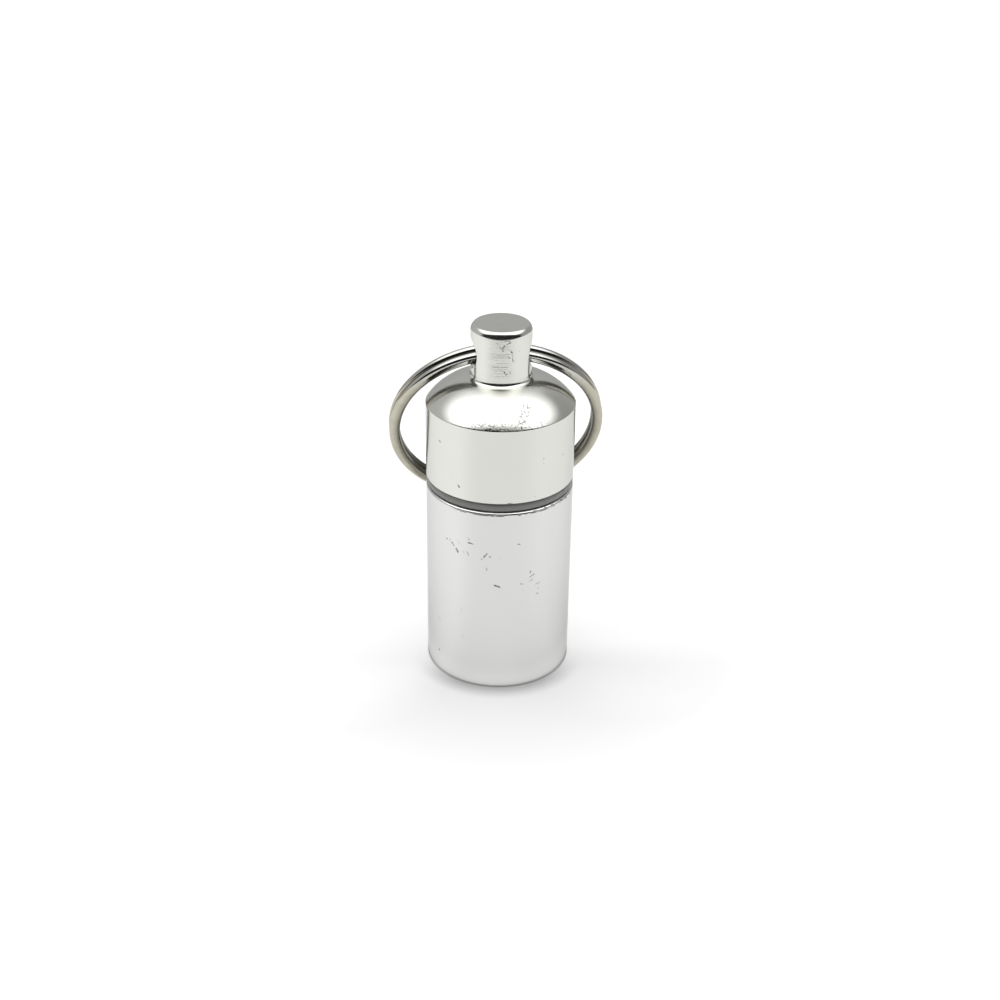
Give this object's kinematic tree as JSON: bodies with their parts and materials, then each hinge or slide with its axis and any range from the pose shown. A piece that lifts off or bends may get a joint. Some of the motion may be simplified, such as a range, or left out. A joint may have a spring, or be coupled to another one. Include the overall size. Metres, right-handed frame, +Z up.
{
  "type": "keychain pill container",
  "caption": "Screw-top aluminium pill fob: threaded container and cap with a rubber seal, a cross-drilled knob on the cap and a split ring for keys.",
  "frame": {"origin": "centre of the container's base", "axes": "+Z up along the turned axis, towards the knob; the knob's cross hole runs along X, and the ring leans back on the +Y side"},
  "size_m": [0.025, 0.0191, 0.0424],
  "materials": {
    "turned_aluminium": "bright, fine turning marks and light scratches",
    "seal_rubber": "smooth grey rubber",
    "ring_nickel": "nickel-plated spring steel, bright and slightly warm"
  },
  "bodies": {
    "container_body": {"container": "turned_aluminium"},
    "seal_body": {"seal_ring": "seal_rubber"},
    "cap_body": {"cap": "turned_aluminium"},
    "ring_body": {"split_ring": "ring_nickel"}
  },
  "joints": [
    {"name": "cap_turn", "type": "hinge", "parent": "container_body", "child": "seal_body", "pos_m": [0, 0, 0.0231], "axis": [0, 0, 1], "range_deg": [0, 1800]},
    {"name": "cap_lift", "type": "slide", "parent": "seal_body", "child": "cap_body", "axis": [0, 0, 1], "range_m": [0, 0.00625]},
    {"name": "ring_swing", "type": "hinge", "parent": "cap_body", "child": "ring_body", "pos_m": [0, 0.00025, 0.03876], "axis": [1, 0, 0], "range_deg": [0, 311.6]}
  ],
  "couplings": [
    {"joint": "cap_lift", "follows": "cap_turn", "m_per_rad": 0.00019894}
  ]
}
